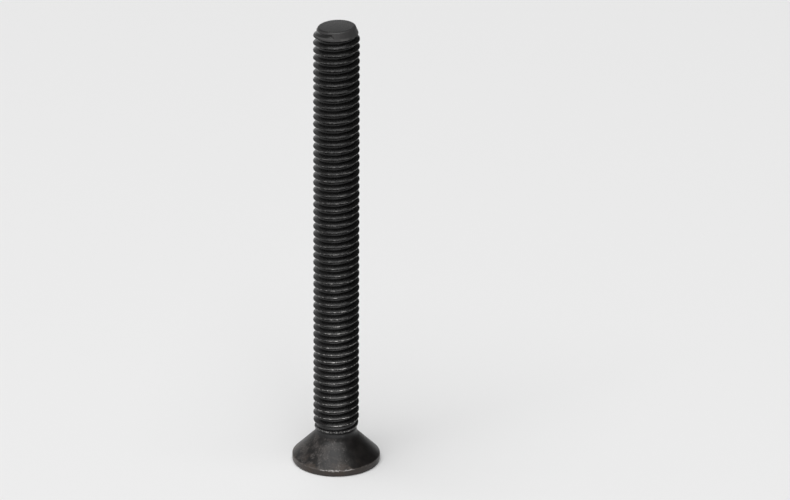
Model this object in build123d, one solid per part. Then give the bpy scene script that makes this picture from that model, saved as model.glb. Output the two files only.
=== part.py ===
from build123d import *
import os
from math import cos, radians, sin, tan

# A countersunk hexagon socket screw, M6 x 60, forged and rolled in one piece from steel.
# It stands on its head: the head face is at z = 0, and the shank points up along +Z.
# Sizes are in millimetres and angles in degrees. The M6 x 1 ridges are finer than this
# solid: its shank is the cylinder that touches their crests, between the run-out beside
# the head and the chamfer at the tip.

# Whole screw
LENGTH = 60.0  # head face to tip, as countersunk screws are measured
THREAD_D = 5.9  # over the crests of an M6 thread of class 6g
PITCH = 1.0
BLANK_D = 5.3  # the wire that the thread is rolled on, bare at the neck

# Head
HEAD_D = 11.35  # over the land
LAND = 0.88  # height of the rim between the head face and the seat
SEAT_ANGLE = 90.0  # included angle of the countersink
LAND_ROUND = 0.12  # where the seat meets the land
FACE_ROUND = 0.3  # where the land meets the head face

# Neck, between the seat and the thread
NECK_ROUND = 1.2
NECK_TURNS = 0.6  # bare blank, in pitches
RUNOUT_D = 5.55  # over the first crests, which are unfinished
RUNOUT_RISE = 0.15  # from the neck to these, in pitches
RUNOUT_TURNS = 1.4  # from the neck to crests of full height, in pitches

# Tip
TIP_D = 4.7  # where the chamfer would meet the end face without its rounding
TIP_TURNS = 1.4  # length of the chamfer, in pitches
TIP_ROUND = 0.35

# Hexagon socket
SOCKET_AF = 4.0  # across the flats
SOCKET_DEPTH = 2.4  # of the flats
SOCKET_CORNER = 0.12
SOCKET_FLOOR_ANGLE = 120.0  # included angle of the punched floor
MOUTH_CHAMFER = 0.1  # along the hexagon's edge in the head face

# Sunken field in the head face, where such a screw carries its marks, left bare
FIELD_INNER_D = 5.9
FIELD_ANGLE = 82.0
FIELD_DEPTH = 0.12
FIELD_FACING = 120.0  # direction of its middle, from +X, where the hexagon has a corner

# Heights that follow
SEAT_TOP = LAND + (HEAD_D - BLANK_D) / 2 / tan(radians(SEAT_ANGLE / 2))
RUNOUT_START = SEAT_TOP + NECK_TURNS * PITCH
THREAD_START = RUNOUT_START + RUNOUT_TURNS * PITCH
THREAD_END = LENGTH - TIP_TURNS * PITCH


def round_edges(solid, diameter, height, radius):
    """The solid with its circular edge of this diameter and height rounded."""
    ring = [
        e
        for e in solid.edges().filter_by(GeomType.CIRCLE)
        if abs(e.radius - diameter / 2) < 1e-4 and abs(e.arc_center.Z - height) < 1e-4
    ]
    return fillet(ring, radius)


def blank():
    """The turned outline: land, seat, neck, run-out, thread's cylinder and tip."""
    outline = Polyline(
        (0, 0, 0),
        (HEAD_D / 2, 0, 0),
        (HEAD_D / 2, 0, LAND),
        (BLANK_D / 2, 0, SEAT_TOP),
        (BLANK_D / 2, 0, RUNOUT_START),
        (RUNOUT_D / 2, 0, RUNOUT_START + RUNOUT_RISE * PITCH),
        (THREAD_D / 2, 0, THREAD_START),
        (THREAD_D / 2, 0, THREAD_END),
        (TIP_D / 2, 0, LENGTH),
        (0, 0, LENGTH),
        close=True,
    )
    solid = revolve(make_face(outline), Axis.Z)
    solid = round_edges(solid, HEAD_D, 0, FACE_ROUND)
    solid = round_edges(solid, HEAD_D, LAND, LAND_ROUND)
    solid = round_edges(solid, BLANK_D, SEAT_TOP, NECK_ROUND)
    return round_edges(solid, TIP_D, LENGTH, TIP_ROUND)


def socket():
    """The punched hexagon, with its cone-shaped floor and the chamfer at its mouth."""
    hexagon = RegularPolygon(SOCKET_AF / 2, 6, major_radius=False)
    hexagon = fillet(hexagon.vertices(), SOCKET_CORNER)
    corner_r = SOCKET_AF / 2 / cos(radians(30))
    floor_rise = corner_r / tan(radians(SOCKET_FLOOR_ANGLE / 2))
    punch = Polyline(
        (0, 0, 0),
        (corner_r, 0, 0),
        (corner_r, 0, SOCKET_DEPTH),
        (0, 0, SOCKET_DEPTH + floor_rise),
        close=True,
    )
    hole = extrude(hexagon, SOCKET_DEPTH + floor_rise)
    hole &= revolve(make_face(punch), Axis.Z)
    mouth = extrude(offset(hexagon, MOUTH_CHAMFER), MOUTH_CHAMFER, taper=45)
    return hole + mouth


def mark_field():
    """The sunken sector of the head face, open at the land."""
    middle = Circle(FIELD_INNER_D / 2)
    half = radians(FIELD_ANGLE / 2)
    reach = HEAD_D
    wedge = Polyline(
        (0, 0),
        (reach * cos(half), -reach * sin(half)),
        (reach * cos(half), reach * sin(half)),
        close=True,
    )
    sector = Rot(0, 0, FIELD_FACING) * (make_face(wedge) - middle)
    return extrude(sector, FIELD_DEPTH)


def screw():
    return blank() - socket() - mark_field()


os.makedirs("parts", exist_ok=True)
export_step(screw(), "parts/screw.step")
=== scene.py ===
"""A black countersunk socket screw, M6 x 60, standing on its head on a pale table.

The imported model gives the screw's place and outline. This script makes the finished screw in
its stead: the forged head with its socket, the rolled thread, and the black oxide on both.
The screw's own sizes are millimetres, turned into metres by MM. The table, the lamps and the
camera are placed in metres.
"""

from math import atan2, cos, pi, radians, sin, tan

import bpy
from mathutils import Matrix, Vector


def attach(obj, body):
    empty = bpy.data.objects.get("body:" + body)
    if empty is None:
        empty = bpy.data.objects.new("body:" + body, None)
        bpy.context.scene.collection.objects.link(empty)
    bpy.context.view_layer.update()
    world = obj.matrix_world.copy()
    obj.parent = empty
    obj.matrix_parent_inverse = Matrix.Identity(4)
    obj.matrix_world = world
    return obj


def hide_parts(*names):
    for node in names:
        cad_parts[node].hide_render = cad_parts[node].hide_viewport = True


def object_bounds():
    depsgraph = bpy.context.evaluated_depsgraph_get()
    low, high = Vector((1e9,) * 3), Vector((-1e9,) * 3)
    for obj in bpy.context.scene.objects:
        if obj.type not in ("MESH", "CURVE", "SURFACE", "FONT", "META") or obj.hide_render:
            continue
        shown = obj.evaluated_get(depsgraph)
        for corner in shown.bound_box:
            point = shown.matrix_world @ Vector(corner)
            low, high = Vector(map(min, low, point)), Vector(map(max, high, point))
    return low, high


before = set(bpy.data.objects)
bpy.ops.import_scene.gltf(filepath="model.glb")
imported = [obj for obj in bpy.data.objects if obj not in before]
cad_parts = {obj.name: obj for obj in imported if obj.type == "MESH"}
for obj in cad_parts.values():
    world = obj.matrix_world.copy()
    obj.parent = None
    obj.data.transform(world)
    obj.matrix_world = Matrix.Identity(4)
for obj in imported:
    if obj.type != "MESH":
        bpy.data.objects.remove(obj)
cad_low, cad_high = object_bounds()

MM = 0.001

# Whole screw, in millimetres and degrees, with the same values as its solid
LENGTH = (cad_high.z - cad_low.z) / MM
THREAD_D = 5.9  # over the crests
PITCH = 1.0
BLANK_D = 5.3  # the wire that the thread is rolled on, bare at the neck

# Head
HEAD_D = (cad_high.x - cad_low.x) / MM  # over the land
LAND = 0.88  # height of the rim between the head face and the seat
LAND_ROUND = 0.12  # where the seat meets the land
FACE_ROUND = 0.3  # where the land meets the head face
SEAT_TOP = LAND + (HEAD_D - BLANK_D) / 2  # the seat's sides stand at 45 degrees

# Neck, between the seat and the thread
NECK_ROUND = 1.2
NECK_TURNS = 0.6  # bare blank, in pitches
RUNOUT_D = 5.55  # over the first crests, which are unfinished
RUNOUT_RISE = 0.15  # from the neck to these, in pitches
RUNOUT_TURNS = 1.4  # from the neck to crests of full height, in pitches
RUNOUT_START = SEAT_TOP + NECK_TURNS * PITCH
THREAD_START = RUNOUT_START + RUNOUT_TURNS * PITCH

# Tip
TIP_D = 4.7  # where the chamfer would meet the end face without its rounding
TIP_TURNS = 1.4  # length of the chamfer, in pitches
TIP_ROUND = 0.35
THREAD_END = LENGTH - TIP_TURNS * PITCH

# Hexagon socket
SOCKET_AF = 4.0  # across the flats
SOCKET_DEPTH = 2.4  # of the flats
SOCKET_CORNER = 0.12
SOCKET_FLOOR_ANGLE = 120.0  # included angle of the punched floor
MOUTH_CHAMFER = 0.1  # along the hexagon's edge in the head face
FLAT_TO_CORNER = radians(30)  # turn from the middle of a hexagon's flat to its corner
SOCKET_R = SOCKET_AF / 2 / cos(FLAT_TO_CORNER)  # to the hexagon's corners, while sharp
FLOOR_SLOPE = tan(radians(SOCKET_FLOOR_ANGLE / 2))  # width for each millimetre of height
SOCKET_END = SOCKET_DEPTH + SOCKET_R / FLOOR_SLOPE  # the floor's deepest point

# Sunken field in the head face
FIELD_INNER_D = 5.9
FIELD_ANGLE = 82.0
FIELD_DEPTH = 0.12
FIELD_FACING = 120.0  # direction of its middle, from +X

# The rolled ridges, finer than the solid
ROOT_D = 4.74  # at the bottom of the grooves
FLANK_ANGLE = 30.0
CREST_FLAT = 0.1  # width of a crest before its corners are rounded
CREST_ROUND = 0.05
ROOT_ROUND = 0.125
FIRST_CREST = 0.17  # height of a crest on the +X side, above a whole number of pitches
GROOVE_START = 0.85  # below the end face, where the rolling begins on the +X side
GROOVE_LEAN = -0.06  # slope of that start across the tip, in radians
END_TILT = 2.9  # of the sheared end face

# How finely it is modelled
LATHE_STEPS = 96  # facets round the turned shapes
HEAD_STEPS = 128
THREAD_STEPS = 72  # in each turn of the helix
RIDGE_ARC = 3  # facets in each rounded corner of a ridge
SAME_POINT = 0.0002  # points nearer than this are one
ON_PLANE = 0.00001  # points nearer than this to a cut lie on it
SLIVER = 0.0005  # edges shorter than this are left over from joining and cutting
SMOOTH_ANGLE = 32.0  # edges that turn less than this are shaded smooth


# ---------------------------------------------------------------- modelling steps


def metres(*lengths):
    """A place or a step given in millimetres, as the operators take it."""
    return tuple(length * MM for length in lengths)


def deselect():
    bpy.ops.object.select_all(action="DESELECT")


def pick(piece):
    deselect()
    piece.select_set(True)
    bpy.context.view_layer.objects.active = piece


def edit(piece):
    pick(piece)
    bpy.ops.object.mode_set(mode="EDIT")
    bpy.ops.mesh.select_mode(type="VERT")


def done():
    bpy.ops.object.mode_set(mode="OBJECT")


def apply(piece, modifier):
    pick(piece)
    bpy.ops.object.modifier_apply(modifier=modifier.name)


def select_where(piece, test, kind="vertices"):
    """In edit mode, selects the vertices or edges for which the test holds."""
    bpy.ops.mesh.select_mode(type="VERT" if kind == "vertices" else "EDGE")
    bpy.ops.mesh.select_all(action="DESELECT")
    done()
    for element in getattr(piece.data, kind):
        element.select = test(element)
    bpy.ops.object.mode_set(mode="EDIT")


def clean(piece, gap=SAME_POINT):
    """Joins doubled points and turns the faces outwards."""
    edit(piece)
    bpy.ops.mesh.select_all(action="SELECT")
    bpy.ops.mesh.remove_doubles(threshold=gap * MM)
    bpy.ops.mesh.select_all(action="SELECT")
    bpy.ops.mesh.normals_make_consistent(inside=False)
    done()


def cut(place, facing, keep):
    """In edit mode, cuts the whole piece along a plane, closes it and keeps one side.

    The side that the plane faces is the outer one, and the other the inner one."""
    bpy.ops.mesh.select_all(action="SELECT")
    bpy.ops.mesh.bisect(
        plane_co=metres(*place), plane_no=facing, use_fill=True, threshold=ON_PLANE * MM,
        clear_inner=keep == "outer", clear_outer=keep == "inner",
    )


def outline(name, corners, rounds=()):
    """A line of edges in the XZ plane, drawn corner by corner from one point.

    rounds lists (corner number, radius, segments) for the corners that are rounded."""
    deselect()
    bpy.ops.mesh.primitive_plane_add(size=MM)
    piece = bpy.context.object
    piece.name = piece.data.name = name
    edit(piece)
    bpy.ops.mesh.select_all(action="SELECT")
    bpy.ops.mesh.merge(type="CENTER")
    x, z = corners[0]
    bpy.ops.transform.translate(value=metres(x, 0, z))
    for (x0, z0), (x1, z1) in zip(corners, corners[1:]):
        step = metres(x1 - x0, 0, z1 - z0)
        bpy.ops.mesh.extrude_vertices_move(TRANSFORM_OT_translate={"value": step})
    for number, radius, segments in rounds:
        before, here, after = (Vector(corner) for corner in corners[number - 1 : number + 2])
        turn = (here - before).normalized().angle((after - here).normalized())
        x, z = corners[number]
        point = Vector(metres(x, 0, z))
        select_where(piece, lambda v: (v.co - point).length < SAME_POINT * MM)
        bpy.ops.mesh.bevel(
            offset=radius * tan(turn / 2) * MM, offset_type="OFFSET", segments=segments,
            profile=0.5, affect="VERTICES", clamp_overlap=False,
        )
    done()
    return piece


def turned(name, corners, rounds=(), steps=LATHE_STEPS):
    """A solid of revolution about Z, as from a lathe."""
    piece = outline(name, corners, rounds)
    edit(piece)
    bpy.ops.mesh.select_all(action="SELECT")
    bpy.ops.mesh.spin(steps=steps, angle=2 * pi, center=(0, 0, 0), axis=(0, 0, 1))
    done()
    clean(piece)
    return piece


def combine(piece, tool, operation):
    """Cuts the tool from the piece, joins it on, or keeps what both hold."""
    modifier = piece.modifiers.new(operation.lower(), "BOOLEAN")
    modifier.operation = operation
    modifier.solver = "MANIFOLD"
    modifier.object = tool
    apply(piece, modifier)
    bpy.data.objects.remove(tool)


# ---------------------------------------------------------------- the rolled thread


def rolled_ridges():
    """One pitch of the thread's profile, swept up a right-hand helix."""
    crest, root = THREAD_D / 2, ROOT_D / 2
    top = CREST_FLAT / 2
    foot = top + (crest - root) * tan(radians(FLANK_ANGLE))
    start = RUNOUT_START - 2.5 * PITCH
    first = start - start % PITCH + FIRST_CREST
    corners = [
        (root, first - PITCH / 2),
        (root, first - foot),
        (crest, first - top),
        (crest, first + top),
        (root, first + foot),
        (root, first + PITCH / 2),
    ]
    rounds = [
        (1, ROOT_ROUND, RIDGE_ARC),
        (2, CREST_ROUND, RIDGE_ARC),
        (3, CREST_ROUND, RIDGE_ARC),
        (4, ROOT_ROUND, RIDGE_ARC),
    ]
    piece = outline("thread", corners, rounds)
    sweep = piece.modifiers.new("sweep", "SCREW")
    sweep.axis = "Z"
    sweep.angle = 2 * pi
    sweep.screw_offset = PITCH * MM
    sweep.iterations = round((LENGTH - start) / PITCH) + 2
    sweep.steps = sweep.render_steps = THREAD_STEPS
    apply(piece, sweep)
    clean(piece)
    below_runout, above_tip = 0.5, 0.3
    edit(piece)
    cut((0, 0, RUNOUT_START - below_runout), (0, 0, 1), keep="outer")
    cut((0, 0, LENGTH + above_tip), (0, 0, 1), keep="inner")
    done()
    clean(piece)
    return piece


def unrolled_tip():
    """The blank's own end, bare on the +X side down to where the first groove starts."""
    bottom = LENGTH - GROOVE_START
    wide, high = 3.6, 2.5  # past the tip's outline on all sides
    corners = [(0, bottom), (wide, bottom), (wide, bottom + high), (0, bottom + high)]
    piece = turned("unrolled_tip", corners)
    edit(piece)
    bpy.ops.mesh.select_all(action="SELECT")
    bpy.ops.transform.rotate(
        value=GROOVE_LEAN, orient_axis="X", center_override=metres(0, 0, bottom)
    )
    cut((-0.45, 0, LENGTH - 0.6), (1, 0, 0.7), keep="outer")
    done()
    clean(piece)
    return piece


def thread_limits():
    """The turned space that the ridges stay in, from the run-out to the chamfered tip.

    Its end face leans, as on sheared wire: it is highest at +X, and falls towards -X."""
    neck, crest, tip = BLANK_D / 2, THREAD_D / 2, TIP_D / 2
    steepness = TIP_TURNS * PITCH / (crest - tip)
    bottom = RUNOUT_START - 0.3
    sunk = 0.05  # under the neck's surface
    spare = 0.02  # clear of the crests, so that no two surfaces coincide
    corners = [
        (0, bottom),
        (neck - sunk, bottom),
        (neck - sunk, RUNOUT_START - spare),
        (neck, RUNOUT_START),
        (RUNOUT_D / 2, RUNOUT_START + RUNOUT_RISE * PITCH),
        (crest, THREAD_START),
        (crest + spare, THREAD_START + 0.15),
        (crest + spare, THREAD_END - spare * steepness),
        (tip, LENGTH),
        (0, LENGTH),
    ]
    piece = turned("thread_limits", corners, [(8, TIP_ROUND, 6)])
    end_part = 0.8 * TIP_ROUND  # the end face with most of its rounding
    edit(piece)
    select_where(piece, lambda v: v.co.z > (LENGTH - end_part) * MM)
    bpy.ops.transform.rotate(
        value=radians(END_TILT), orient_axis="Y", center_override=metres(tip, 0, LENGTH)
    )
    done()
    return piece


def thread():
    """The ridges with the unrolled part of the tip, trimmed to the thread's limits."""
    piece = rolled_ridges()
    combine(piece, unrolled_tip(), "UNION")
    combine(piece, thread_limits(), "INTERSECT")
    return piece


# ---------------------------------------------------------------- the forged head


def blank():
    """The forged head with the neck, and a core that reaches into the thread's roots."""
    head, neck = HEAD_D / 2, BLANK_D / 2
    core, core_top = ROOT_D / 2 - 0.06, RUNOUT_START + 1.7
    corners = [
        (0, 0),
        (head, 0),
        (head, LAND),
        (neck, SEAT_TOP),
        (neck, RUNOUT_START),
        (neck - 0.12, RUNOUT_START + 0.2),  # the first groove, still shallow
        (neck - 0.08, RUNOUT_START + 0.9),
        (core, core_top),
        (0, core_top),
    ]
    rounds = [(1, FACE_ROUND, 5), (2, LAND_ROUND, 4), (3, NECK_ROUND, 8)]
    return turned("blank", corners, rounds, steps=HEAD_STEPS)


def hexagon():
    """A hexagonal bar with softened corners, longer than the socket at both ends."""
    spare = 1.0  # at each end
    deselect()
    bpy.ops.mesh.primitive_cylinder_add(
        vertices=6, radius=SOCKET_R * MM, depth=(SOCKET_END + 2 * spare) * MM,
        location=metres(0, 0, SOCKET_END / 2), rotation=(0, 0, FLAT_TO_CORNER),
    )
    piece = bpy.context.object
    bpy.ops.object.transform_apply()

    def upright(edge):
        start, end = (piece.data.vertices[number].co.z for number in edge.vertices)
        return abs(end - start) > SOCKET_DEPTH / 2 * MM

    edit(piece)
    select_where(piece, upright, "edges")
    bpy.ops.mesh.bevel(
        offset=SOCKET_CORNER * tan(FLAT_TO_CORNER) * MM, offset_type="OFFSET", segments=4,
        profile=0.5, affect="EDGES", clamp_overlap=False,
    )
    done()
    return piece


def socket_point():
    """The punch's turned point, which gives the socket its conical floor."""
    spare, bottom = 0.5, -1.5  # past the hexagon's corners and the head face
    corners = [
        (0, bottom),
        (SOCKET_R + spare, bottom),
        (SOCKET_R + spare, SOCKET_DEPTH - spare / FLOOR_SLOPE),
        (0, SOCKET_END),
    ]
    return turned("socket_point", corners)


def socket_mouth():
    """The chamfer at the mouth: a six-sided cone, a little past the face and the flats."""
    below_face, inside_flats = 0.05, 0.01
    deep = MOUTH_CHAMFER + inside_flats
    wide = (SOCKET_AF / 2 + MOUTH_CHAMFER + below_face) / cos(FLAT_TO_CORNER)
    narrow = (SOCKET_AF / 2 - inside_flats) / cos(FLAT_TO_CORNER)
    deselect()
    bpy.ops.mesh.primitive_cone_add(
        vertices=6, radius1=wide * MM, radius2=narrow * MM, depth=(deep + below_face) * MM,
        location=metres(0, 0, (deep - below_face) / 2), rotation=(0, 0, FLAT_TO_CORNER),
    )
    piece = bpy.context.object
    bpy.ops.object.transform_apply()
    return piece


def hexagon_socket():
    """The tool for the socket: the pointed hexagonal punch with its chamfered mouth."""
    piece = hexagon()
    combine(piece, socket_point(), "INTERSECT")
    combine(piece, socket_mouth(), "UNION")
    return piece


def sunken_field():
    """The tool for the sunken sector of the head face."""
    spare = 0.5  # past the rim and the face
    bottom = [(FIELD_INNER_D / 2, -spare), (HEAD_D / 2 + spare, -spare)]
    piece = outline("field", bottom)
    edit(piece)
    bpy.ops.mesh.select_all(action="SELECT")
    bpy.ops.mesh.spin(
        steps=24, angle=radians(FIELD_ANGLE), center=(0, 0, 0), axis=(0, 0, 1)
    )
    bpy.ops.mesh.select_all(action="SELECT")
    bpy.ops.mesh.extrude_region_move(
        TRANSFORM_OT_translate={"value": metres(0, 0, spare + FIELD_DEPTH)}
    )
    done()
    middle = sum((v.co for v in piece.data.vertices), Vector()) / len(piece.data.vertices)
    piece.rotation_euler.z = radians(FIELD_FACING) - atan2(middle.y, middle.x)
    pick(piece)
    bpy.ops.object.transform_apply()
    clean(piece)
    return piece


def screw():
    """The whole screw: the blank with its socket and field, and the thread joined on."""
    ridges = thread()
    piece = blank()
    combine(piece, hexagon_socket(), "DIFFERENCE")
    combine(piece, sunken_field(), "DIFFERENCE")
    combine(piece, ridges, "UNION")
    piece.name = piece.data.name = "dressed_screw"
    clean(piece, SLIVER)
    pick(piece)
    bpy.ops.object.shade_smooth_by_angle(angle=radians(SMOOTH_ANGLE))
    return piece


# ---------------------------------------------------------------- shader maths


class Value:
    """A socket of a shader tree that can be added, multiplied and so on."""

    def __init__(self, tree, socket):
        self.tree, self.socket = tree, socket

    def math(self, operation, *values):
        return self.tree.node("ShaderNodeMath", {"operation": operation}, dict(enumerate(values)))

    def __add__(self, other):
        return self.math("ADD", self, other)

    def __radd__(self, other):
        return self.math("ADD", other, self)

    def __sub__(self, other):
        return self.math("SUBTRACT", self, other)

    def __rsub__(self, other):
        return self.math("SUBTRACT", other, self)

    def __mul__(self, other):
        return self.math("MULTIPLY", self, other)

    def __rmul__(self, other):
        return self.math("MULTIPLY", other, self)

    def __truediv__(self, other):
        return self.math("DIVIDE", self, other)


class Tree:
    """A material's or world's node tree, with one way to add any node."""

    def __init__(self, owner):
        owner.use_nodes = True
        self.nodes, self.links = owner.node_tree.nodes, owner.node_tree.links
        self.nodes.clear()

    def node(self, kind, settings=None, sockets=None, out=0):
        """Adds a node, and gives back the value of one of its outputs if it has any."""
        made = self.nodes.new(kind)
        for name, value in (settings or {}).items():
            setattr(made, name, value)
        for name, value in (sockets or {}).items():
            if isinstance(value, Value):
                self.links.new(value.socket, made.inputs[name])
            else:
                made.inputs[name].default_value = value
        return Value(self, made.outputs[out]) if len(made.outputs) else None

    def axis(self, vector, name):
        """The X, Y or Z of a vector."""
        return self.node("ShaderNodeSeparateXYZ", sockets={0: vector}, out=name)

    def rise(self, value, low, high):
        """0 below low, 1 above high, and smooth from one to the other."""
        return self.node(
            "ShaderNodeMapRange", {"interpolation_type": "SMOOTHSTEP", "clamp": True},
            {"Value": value, "From Min": low, "From Max": high},
        )

    def fall(self, value, low, high):
        """1 below low, 0 above high, and smooth from one to the other."""
        return 1 - self.rise(value, low, high)

    def band(self, value, start, full, last, end):
        """0 below start, 1 from full to last, and 0 again above end."""
        return self.rise(value, start, full) * self.fall(value, last, end)

    def mix(self, share, first, second):
        """Two colours, from the first at 0 to the second at 1."""
        return self.node(
            "ShaderNodeMix", {"data_type": "RGBA"}, {0: share, 6: first, 7: second}, out=2
        )


def rgb(r, g, b):
    return (r, g, b, 1.0)


def grey(level):
    return rgb(level, level, level)


# ---------------------------------------------------------------- black oxide

# Also the colour of the painted highlights on the crests and the tip.
BARE_STEEL = rgb(0.42, 0.41, 0.40)
OXIDE = rgb(0.009, 0.0087, 0.0087)
TIP_OXIDE = rgb(0.040, 0.039, 0.039)
HEAD_DARK = rgb(0.0062, 0.0054, 0.0051)
HEAD_PALE = rgb(0.034, 0.0295, 0.0275)
LAND_OXIDE = rgb(0.053, 0.044, 0.039)
BROWN_OXIDE = rgb(0.055, 0.041, 0.032)
FLECK = rgb(0.14, 0.134, 0.128)
WORN_AND_HIGHLIT_STEEL = rgb(0.42, 0.40, 0.385)


class ScrewTree(Tree):
    """A material's tree that knows the place on the screw.

    Heights are from the head face and radii from the axis, in millimetres. Front and right
    go from -1 to 1, and are 1 on the side that lies towards -Y or +X."""

    def __init__(self, owner):
        super().__init__(owner)
        place = self.node("ShaderNodeTexCoord", out="Object")
        self.mm = self.node(
            "ShaderNodeVectorMath", {"operation": "SCALE"}, {0: place, "Scale": 1 / MM}
        )
        level = self.node(
            "ShaderNodeVectorMath", {"operation": "MULTIPLY"}, {0: self.mm, 1: (1, 1, 0)}
        )
        self.radius = self.node(
            "ShaderNodeVectorMath", {"operation": "LENGTH"}, {0: level}, out="Value"
        )
        self.height = self.axis(self.mm, "Z")
        self.front = self.axis(self.mm, "Y") / self.radius * -1
        self.right = self.axis(self.mm, "X") / self.radius

    def noise(self, scale, detail, rough):
        """Cloudy noise about 0.5, with so many clouds to the millimetre."""
        return self.node(
            "ShaderNodeTexNoise", sockets={
                "Vector": self.mm, "Scale": scale, "Detail": detail, "Roughness": rough,
            },
        )


def crest_wear_and_highlight(at, on_thread):
    """Crests worn to the steel in dashes, more near the head, and a painted highlight on the
    crests that face -Y beside the head.
    """
    crest = at.rise(at.radius, THREAD_D / 2 - 0.008, THREAD_D / 2 - 0.002) * on_thread
    dashes = at.rise(at.noise(2.2, 3.0, 0.6), 0.5, 0.62)
    share = 1 - 0.5 * at.rise(at.height, 8.0, 30.0) - 0.25 * at.rise(at.height, 35.0, 50.0)
    # Painted highlight: crests facing -Y near the head get extra bare steel.
    front = at.rise(at.front, 0.8, 0.97) * at.fall(at.height, 10.0, 28.0)
    return crest * (0.04 + 0.9 * dashes * share) + crest * 0.3 * front


def lip_wear(at):
    """Spots on the lip of the run-out's first crest."""
    lip = at.rise(at.radius, RUNOUT_D / 2 - 0.075, RUNOUT_D / 2 - 0.025)
    lip = lip * at.band(at.height - RUNOUT_START, 0.295, 0.355, 0.535, 0.595)
    return lip * 0.6 * at.rise(at.noise(5.0, 2.0, 0.5), 0.45, 0.6)


def tip_chamfer(at):
    """Where the surface lies on the tip's chamfer or above it, and not in a groove."""
    taper = (THREAD_D - TIP_D) / 2 / (TIP_TURNS * PITCH)
    chamfer = TIP_D / 2 + (LENGTH - at.height) * taper
    outside = at.rise(at.radius - chamfer, -0.16, -0.08)
    return outside * at.rise(at.height, THREAD_END + 0.1, THREAD_END + 0.3)


def tip_highlight(at, on_tip):
    """Painted highlight in bare steel on the front of the tip's first crest, brightest in one
    place right of its middle.
    """
    crest = on_tip * at.fall(at.height, THREAD_END + 0.4, THREAD_END + 0.6)
    crest = crest * at.rise(at.front, 0.3, 0.6)
    return crest * (0.03 + 0.12 * at.band(at.right, 0.1, 0.3, 0.5, 0.65))


def edge_wear_and_highlight(at, on_head):
    """The ragged edge between land and seat, worn through in short strokes, with a painted
    highlight that makes it far brighter at the front.
    """
    ragged = at.height + 0.45 * (at.noise(4.0, 3.0, 0.65) - 0.5)
    edge = at.band(ragged, LAND - 0.14, LAND - 0.04, LAND + 0.01, LAND + 0.09)
    edge = edge * on_head * at.rise(at.radius, HEAD_D / 2 - 0.3, HEAD_D / 2 - 0.2)
    strokes = at.rise(at.noise(3.2, 3.0, 0.65), 0.44, 0.54)
    # Painted highlight: the edge's bare steel grows tenfold towards -Y.
    return edge * (0.1 + 0.9 * at.rise(at.front, 0.88, 0.96)) * (0.2 + 0.8 * strokes)


def head_colour(at, on_head, patches):
    """Mottled on the seat, browned towards the land, flecked, and bare where it is worn; painted
    shade darkens its +X side, and a painted highlight brightens the worn edge at the front.
    """
    # Painted shade: the pale mottling fades out towards +X.
    pale = at.rise(patches, 0.38, 0.64) * (1 - 0.85 * at.rise(at.right, -0.45, 0.45))
    colour = at.mix(pale, HEAD_DARK, HEAD_PALE)

    on_land = at.fall(at.height, LAND, LAND + 0.1)
    on_land = on_land * at.rise(at.radius, HEAD_D / 2 - 0.35, HEAD_D / 2 - 0.25)
    # Painted shade: less of the land's lighter tone on the +X side.
    land_share = on_land * (0.78 - 0.6 * at.rise(at.right, 0.7, 0.95))
    colour = at.mix(land_share, colour, LAND_OXIDE)

    brown = at.rise(at.noise(0.7, 4.0, 0.65), 0.45, 0.62) * at.fall(at.height, 0.8, 2.4)
    # Painted shade: the browns fade out towards +X.
    brown = brown * on_head * at.fall(at.right, 0.35, 0.7)
    colour = at.mix(brown * 0.8, colour, BROWN_OXIDE)

    fleck = at.rise(at.noise(6.0, 2.0, 0.6), 0.54, 0.66) * at.rise(patches, 0.4, 0.56)
    # Painted shade: the flecks fade out towards +X.
    fleck = fleck * on_head * at.fall(at.right, 0.25, 0.5)
    fleck = fleck * at.rise(at.height, LAND - 0.1, LAND + 0.1)
    colour = at.mix(fleck * 0.5, colour, FLECK)
    return at.mix(edge_wear_and_highlight(at, on_head), colour, WORN_AND_HIGHLIT_STEEL)


def black_oxide():
    """Blackened steel: dark in the roots, worn bare on the crests, warm and mottled on the head,
    with painted highlights on the side facing -Y and painted shade on the head's +X side.
    """
    material = bpy.data.materials.new("black_oxide")
    at = ScrewTree(material)
    patches = at.noise(1.1, 4.0, 0.6)
    grain = at.noise(11.0, 2.0, 0.5)
    on_head = at.fall(at.height, SEAT_TOP - 0.1, SEAT_TOP + 0.35)
    on_neck = at.rise(at.height, SEAT_TOP - 0.505, SEAT_TOP - 0.105)
    on_neck = on_neck * at.fall(at.height, RUNOUT_START + 0.095, RUNOUT_START + 0.295)
    on_tip = tip_chamfer(at)

    # Bare steel from wear, with painted highlights on the crests and the tip that face -Y.
    worn_and_highlit = crest_wear_and_highlight(at, 1 - on_head) + lip_wear(at) + tip_highlight(at, on_tip)
    thread_colour = at.mix(worn_and_highlit, at.mix(on_tip, OXIDE, TIP_OXIDE), BARE_STEEL)
    colour = at.mix(on_head, thread_colour, head_colour(at, on_head, patches))

    roughness = 0.27 + 0.12 * on_head + 0.12 * on_neck + 0.18 * on_tip
    roughness = roughness + 0.16 * (grain - 0.5) + 0.25 * (patches - 0.5)
    relief = 0.35 * grain + 0.65 * at.noise(3.6, 3.0, 0.5)
    bump = at.node(
        "ShaderNodeBump", sockets={"Strength": 1.0, "Distance": 0.016 * MM, "Height": relief}
    )
    surface = at.node(
        "ShaderNodeBsdfPrincipled", sockets={
            "Base Color": colour, "Roughness": roughness, "Metallic": worn_and_highlit, "Normal": bump,
            "IOR": 1.38,
        },
    )
    at.node("ShaderNodeOutputMaterial", sockets={"Surface": surface})
    return material


# ---------------------------------------------------------------- table, light and camera

PALE = grey(0.82)  # the table, and the foot of the tent's walls


def table():
    deselect()
    bpy.ops.mesh.primitive_plane_add(size=3.0, location=(0, 0, cad_low.z))
    piece = bpy.context.object
    piece.name = "table"
    bpy.ops.object.transform_apply()
    material = bpy.data.materials.new("pale_table")
    tree = Tree(material)
    surface = tree.node("ShaderNodeBsdfDiffuse", sockets={"Color": PALE})
    tree.node("ShaderNodeOutputMaterial", sockets={"Surface": surface})
    piece.data.materials.append(material)


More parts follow.
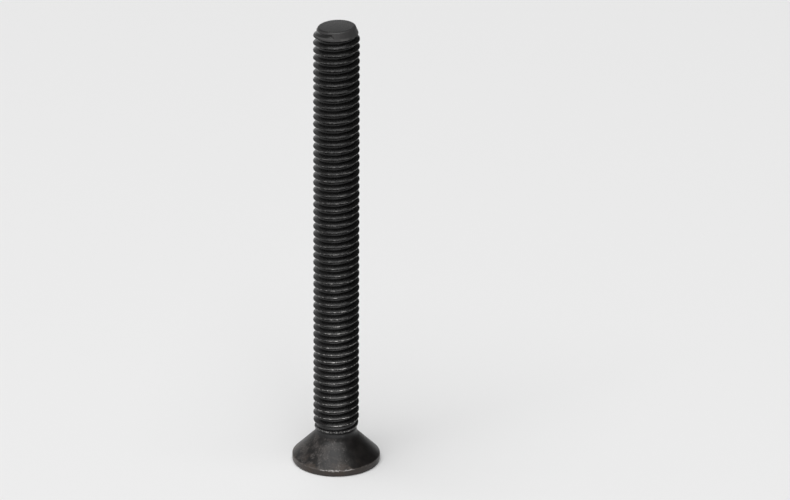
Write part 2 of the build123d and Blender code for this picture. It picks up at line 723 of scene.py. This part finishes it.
def room():
    """A light tent: grey walls with a pale foot, open to a dark room on the right."""
    world = bpy.data.worlds.new("room")
    bpy.context.scene.world = world
    tree = Tree(world)
    direction = tree.node("ShaderNodeTexCoord", out="Generated")
    right, up = tree.axis(direction, "X"), tree.axis(direction, "Z")
    walls = tree.mix(tree.rise(right, -0.7, -0.1), grey(0.45), grey(0.5))
    walls = tree.mix(tree.rise(up, 0.0, 0.12), PALE, walls)
    colour = tree.mix(tree.rise(right, 0.08, 0.36), walls, grey(0.06))
    surface = tree.node("ShaderNodeBackground", sockets={"Color": colour, "Strength": 1.0})
    tree.node("ShaderNodeOutputWorld", sockets={"Surface": surface})


def lamp(name, place, aim, size, power):
    """A softbox that shines from its place towards its aim, and that no camera sees."""
    light = bpy.data.lights.new(name, "AREA")
    light.shape = "RECTANGLE"
    light.size, light.size_y = size
    light.energy = power
    piece = bpy.data.objects.new(name, light)
    bpy.context.collection.objects.link(piece)
    piece.location = place
    ahead = Vector(aim) - Vector(place)
    piece.rotation_euler = ahead.to_track_quat("-Z", "Y").to_euler()
    piece.visible_camera = False


def lamps():
    """A wide softbox high over the front, and a small card on the table that shines up."""
    lamp(
        "roof_softbox", place=(-0.2, -0.58, 2.0), aim=(0, 0, LENGTH / 2 * MM),
        size=(2.0, 1.84), power=40.3,
    )
    lamp(
        "front_card", place=(0.0, -0.042, 0.0005), aim=(0.0, -0.042, 1.0),
        size=(0.05, 0.056), power=0.019,
    )


def camera():
    """A long lens, looking down on the screw from the front, aimed a little to its right."""
    aim, distance = Vector((0.00748, 0, 0.02939)), 0.70
    elevation, roll = radians(23.2), radians(0.31)
    data = bpy.data.cameras.new("camera")
    data.sensor_width, data.lens = 36.0, 250.3413  # millimetres
    data.clip_start, data.clip_end = 0.05, 20.0
    piece = bpy.data.objects.new("camera", data)
    bpy.context.collection.objects.link(piece)
    back = Vector((0, -cos(elevation), sin(elevation)))
    piece.location = aim + back * distance
    piece.rotation_euler = (-back).to_track_quat("-Z", "Y").to_euler()
    piece.rotation_euler.rotate_axis("Z", roll)
    bpy.context.scene.camera = piece


piece = screw()
piece.data.materials.clear()
piece.data.materials.append(black_oxide())
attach(piece, "root")
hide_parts("screw")

table()
room()
lamps()
camera()
bpy.context.scene.view_settings.view_transform = "Standard"
